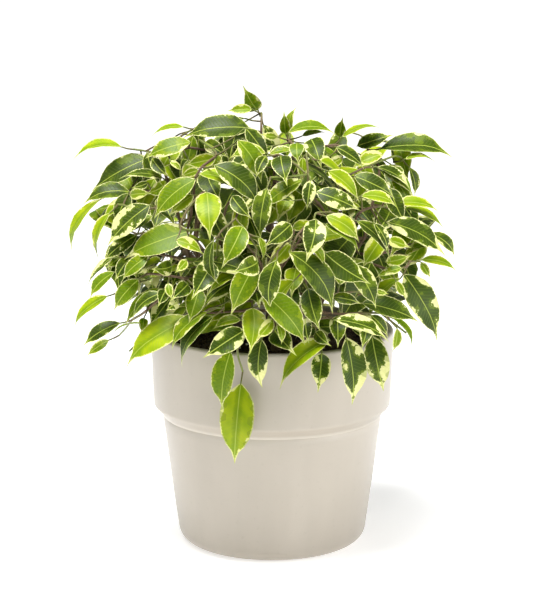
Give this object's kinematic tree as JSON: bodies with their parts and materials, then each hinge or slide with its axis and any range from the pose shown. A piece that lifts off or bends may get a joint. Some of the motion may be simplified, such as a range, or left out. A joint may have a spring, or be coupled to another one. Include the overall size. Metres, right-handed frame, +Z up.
{
  "type": "potted weeping fig",
  "caption": "Bushy weeping fig with drooping, cream-edged leaves, growing from soil in a stepped ceramic pot.",
  "frame": {"origin": "middle of the pot's flat foot", "axes": "+Z up, -Y towards the front of the plant, +X to the right as seen from the front"},
  "size_m": [0.2233, 0.2252, 0.2643],
  "materials": {
    "pot_glaze": "satin greige glaze",
    "soil": "rough dark potting soil",
    "bark": "matt grey-brown bark",
    "leaf": "glossy green leaf with a cream margin"
  },
  "bodies": {
    "root": {"pot": "pot_glaze", "soil": "soil", "spray_back_1": "leaf", "spray_back_2": "leaf", "spray_back_3": "leaf", "spray_back_4": "leaf", "spray_back_5": "leaf", "spray_centre_1": "leaf", "spray_centre_2": "leaf", "spray_centre_3": "leaf", "spray_centre_left_1": "leaf", "spray_centre_left_2": "leaf", "spray_centre_right_1": "leaf", "spray_centre_right_2": "leaf", "spray_centre_right_3": "leaf", "spray_crown_tip": "leaf", "spray_high_back_1": "leaf", "spray_high_back_2": "leaf", "spray_high_back_3": "leaf", "spray_inner_1": "leaf", "spray_inner_2": "leaf", "spray_left_1": "leaf", "spray_left_2": "leaf", "spray_left_3": "leaf", "spray_left_4": "leaf", "spray_left_5": "leaf", "spray_left_6": "leaf", "spray_low_back_1": "leaf", "spray_low_back_2": "leaf", "spray_low_back_3": "leaf", "spray_low_back_4": "leaf", "spray_low_back_5": "leaf", "spray_low_back_6": "leaf", "spray_low_centre_1": "leaf", "spray_low_centre_2": "leaf", "spray_low_centre_3": "leaf", "spray_low_inner_1": "leaf", "spray_low_inner_2": "leaf", "spray_low_inner_3": "leaf", "spray_low_left_1": "leaf", "spray_low_left_2": "leaf", "spray_low_right_1": "leaf", "spray_low_right_2": "leaf", "spray_right_1": "leaf", "spray_right_2": "leaf", "spray_right_3": "leaf", "spray_right_4": "leaf", "spray_shoulder_right": "leaf", "spray_top_centre": "leaf", "spray_top_right": "leaf", "spray_upper_left_1": "leaf", "spray_upper_left_2": "leaf", "spray_upper_right": "leaf", "stem_1": "bark", "stem_2": "bark", "stem_3": "bark", "stem_4": "bark", "stem_5": "bark", "stem_6": "bark", "stem_7": "bark"}
  },
  "joints": []
}
